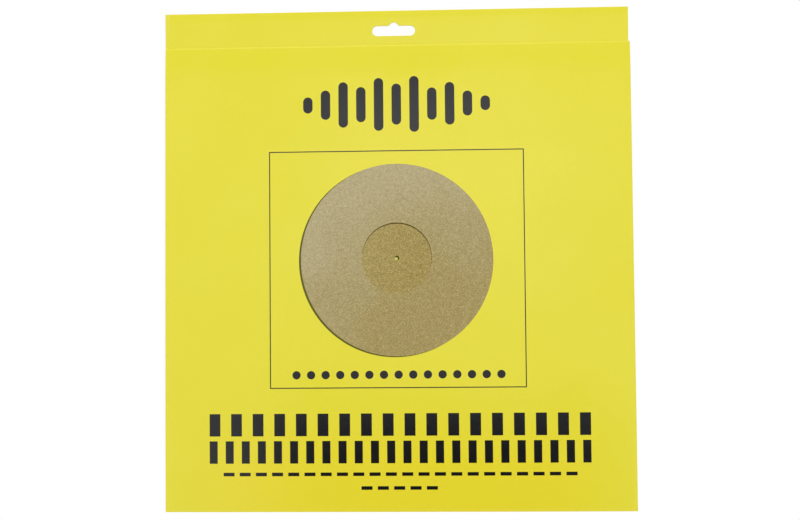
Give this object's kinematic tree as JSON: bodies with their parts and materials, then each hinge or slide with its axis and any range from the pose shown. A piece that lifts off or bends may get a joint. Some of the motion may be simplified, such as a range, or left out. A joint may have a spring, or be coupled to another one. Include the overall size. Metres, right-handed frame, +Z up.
{
  "type": "card hanging pack",
  "caption": "Flat sealed card sleeve for a round flat mat, with a two-ply hang header, a punched hang slot and a plain printed front.",
  "frame": {"origin": "top of the hang slot's hump, halfway through the header's thickness, where a display peg carries the pack", "axes": "+Z up along the pack's height as it hangs, +X to the right as seen from the printed front, +Y from the printed front to the back"},
  "size_m": [0.3155, 0.0051, 0.3379],
  "materials": {
    "printed_card": "satin coated card, bright yellow, with plain dark and tan print on the front"
  },
  "bodies": {
    "root": {"card_pack": "printed_card"}
  },
  "joints": []
}
